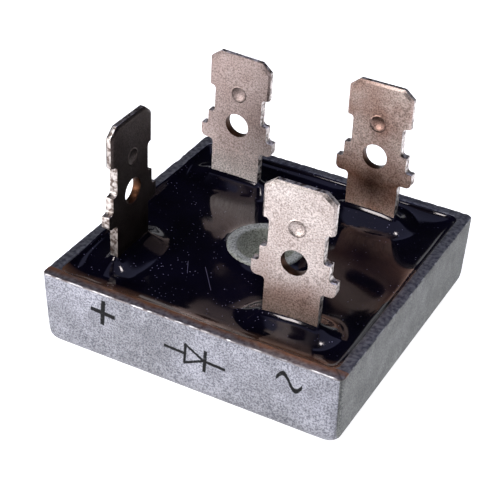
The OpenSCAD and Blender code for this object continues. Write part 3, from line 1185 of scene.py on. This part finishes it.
give("terminal_ac_front", tin_plating(
    "ac_front", "tin_plating_front",
    [(0.3, "#E4CABE"), (1.6, "#CDB2A6"), (4.2, "#DCD0CC"), (13.0, "#D8CECA")],
    patch_hex="#E6E0DE", torn_hex="#F4ECE8", rough_low=0.34, burnt=False,
))
give("terminal_negative", tin_plating(
    "negative", "tin_plating_negative",
    [(0.2, "#FFE4D6"), (1.2, "#E8C8BA"), (3.2, "#A88474"), (6.0, "#E8D2CA"), (13.0, "#D8C6BE")],
    patch_hex="#CDB8B0", torn_hex="#F4ECE8", rough_low=0.34, burnt=True,
))
# The rear blade's paler base is painted light, where the cup keeps the glowing paper from it.
give("terminal_ac_rear", tin_plating(
    "ac_rear", "tin_plating_rear",
    [(0.0, "#FFF8F5"), (3.0, "#E8D8D4"), (6.0, "#BCACA8"), (13.0, "#C0B0AC")],
    patch_hex="#E8E0DE", torn_hex="#F4ECE8", rough_low=0.46, burnt=False,
))
# The positive blade's tones are painted shade: its face in view mirrors the black epoxy, so it is
# painted dark.
give("terminal_positive", tin_plating(
    "positive", "tin_plating_positive",
    [(0.6, "#3A2E2A"), (3.6, "#544C4A"), (13.0, "#5A5352")],
    patch_hex="#D8D0CE", torn_hex="#C8C0BC", rough_low=0.34, burnt=False,
))
print("platings:", [name for name in bpy.data.materials.keys() if name.startswith("tin")])

# %% [markdown]
# ### Hidden pieces
#
# Plates, straps, solder, dice and the insulating layer can't be seen in the finished part, but
# each gets its own finish, so that the part can be opened up and still be right.

# %% Materials of the hidden pieces
def hidden_finish(name, light, dark, grain_size, metallic, rough_low):
    material, tree = start_material(name)
    place = add(tree, "ShaderNodeTexCoord", out="Object")
    grain = add(
        tree, "ShaderNodeTexNoise", {"Vector": place, "Scale": per_mm(grain_size), "Detail": 4.0}
    )
    tone = add(tree, "ShaderNodeValToRGB", {"Fac": grain}, stops=[(0.3, dark), (0.7, light)])
    rough = add(
        tree, "ShaderNodeMapRange",
        {"Value": grain, "To Min": rough_low, "To Max": rough_low + 0.2},
    )
    bump = add(
        tree, "ShaderNodeBump", {"Height": grain, "Strength": 0.3, "Distance": 0.02 * MM}
    )
    shader = add(
        tree, "ShaderNodeBsdfPrincipled",
        {"Base Color": tone, "Metallic": metallic, "Roughness": rough, "Normal": bump},
    )
    add(tree, "ShaderNodeOutputMaterial", {"Surface": shader})
    return material


hidden = {
    ("plate", "strap"): hidden_finish("rolled_copper", "#D98E6B", "#A8623F", 0.8, 1.0, 0.3),
    ("solder",): hidden_finish("reflowed_solder", "#C9CACC", "#8E9094", 0.5, 1.0, 0.35),
    ("die",): hidden_finish("sawn_silicon", "#6A6F7A", "#4A4E58", 0.2, 0.6, 0.2),
    ("insulating",): hidden_finish("filled_epoxy_sheet", "#D8D2BE", "#BDB59E", 0.6, 0.0, 0.6),
}
for starts, material in hidden.items():
    for node_name in frame["nodes"]:
        if node_name.startswith(starts):
            give(node_name, material)
print("hidden finishes:", [material.name for material in hidden.values()])

# %% [markdown]
# ## Table and light
#
# The part stands on plain white paper. In a studio a big lamp would light the paper evenly, but
# that lamp would also show in the epoxy. So the paper shines by itself here, a little less to the
# right, which gives the walls and blades that mirror it their shading. The room is nearly dark, so
# that the glossy epoxy stays black, apart from a pale haze at the horizon, which is the backdrop of
# low views. Four small soft boxes and one broad cool panel overhead light the metal.

# %% Table: paper that glows evenly, with a soft fall towards the right
floor_half = 1.5
floor_drop = 0.02 * MM
glow_left, glow_right = 1.08, 0.85
glow_from, glow_to = -5 * MM, 25 * MM

floor_mesh = bpy.data.meshes.new("floor")
floor_corners = [(-1, -1), (1, -1), (1, 1), (-1, 1)]
floor_points = [(x * floor_half, y * floor_half, 0) for x, y in floor_corners]
floor_mesh.from_pydata(floor_points, [], [range(4)])
floor = bpy.data.objects.new("floor", floor_mesh)
bpy.context.scene.collection.objects.link(floor)
floor.location.z = -floor_drop
paper, paper_tree = start_material("white_paper")
paper_place = add(paper_tree, "ShaderNodeTexCoord", out="Object")
fibre = add(paper_tree, "ShaderNodeTexNoise", {"Vector": paper_place, "Scale": per_mm(1.5)})
fibre = add(
    paper_tree, "ShaderNodeValToRGB", {"Fac": fibre}, stops=[(0.3, "#F5F5F5"), (0.7, "#F9F9F9")]
)
paper_x = add(paper_tree, "ShaderNodeSeparateXYZ", {0: paper_place}, out="X")
glow = add(
    paper_tree, "ShaderNodeMapRange",
    {
        "Value": paper_x,
        "From Min": glow_from, "From Max": glow_to, "To Min": glow_left, "To Max": glow_right,
    },
)
paper_shader = add(
    paper_tree, "ShaderNodeBsdfPrincipled",
    {"Base Color": fibre, "Roughness": 0.9, "Emission Color": fibre, "Emission Strength": glow},
)
add(paper_tree, "ShaderNodeOutputMaterial", {"Surface": paper_shader})
floor_mesh.materials.append(paper)
print("paper glows by", glow_left, "to", glow_right)

# %% Room: nearly dark, with a pale haze close to the horizon
room_strength, haze_strength = 0.015, 0.6
haze_low, haze_high = 0.17, 0.21

world = bpy.data.worlds.new("studio")
bpy.context.scene.world = world
world.use_nodes = True
world_tree = world.node_tree
world_tree.nodes.clear()
way_out = add(world_tree, "ShaderNodeTexCoord", out="Generated")
rise = add(world_tree, "ShaderNodeSeparateXYZ", {0: way_out}, out="Z")
haze = add(
    world_tree, "ShaderNodeMapRange",
    {
        "Value": rise, "From Min": haze_low, "From Max": haze_high,
        "To Min": haze_strength, "To Max": room_strength,
    },
)
backdrop = add(
    world_tree, "ShaderNodeBackground", {"Color": colour("#FAFBFF"), "Strength": haze}
)
add(world_tree, "ShaderNodeOutputWorld", {"Surface": backdrop})
print("haze up to", round(math.degrees(math.asin(haze_high))), "degrees over the horizon")


# %% Lamps: angles in degrees, round from the front and up, then metres and watts
def soft_light(name, round_from_front, up, distance, width, power):
    data = bpy.data.lights.new(name, "AREA")
    data.shape = "SQUARE"
    data.size = width
    data.energy = power
    lamp = bpy.data.objects.new(name, data)
    bpy.context.scene.collection.objects.link(lamp)
    a, e = math.radians(round_from_front), math.radians(up)
    way = Vector((math.sin(a) * math.cos(e), -math.cos(a) * math.cos(e), math.sin(e)))
    lamp.location = way * distance
    lamp.rotation_mode = "QUATERNION"
    lamp.rotation_quaternion = way.to_track_quat("Z", "Y")
    return lamp


soft_light("key_softbox", -29, 59, distance=0.4, width=0.07, power=0.5)
soft_light("side_softbox", 70, 52, distance=0.4, width=0.03, power=0.07)
soft_light("ceiling_lamp", 150, 74, distance=0.4, width=0.03, power=0.12)
soft_light("front_softbox", -34, 5, distance=0.24, width=0.14, power=0.52)
ceiling = soft_light("ceiling_panel", 150, 80, distance=0.5, width=0.5, power=0.7)
ceiling.data.color = colour("#C2CBFF")[:3]
bpy.context.scene.view_settings.view_transform = "Standard"
print("lamps:", list(bpy.data.lights.keys()))
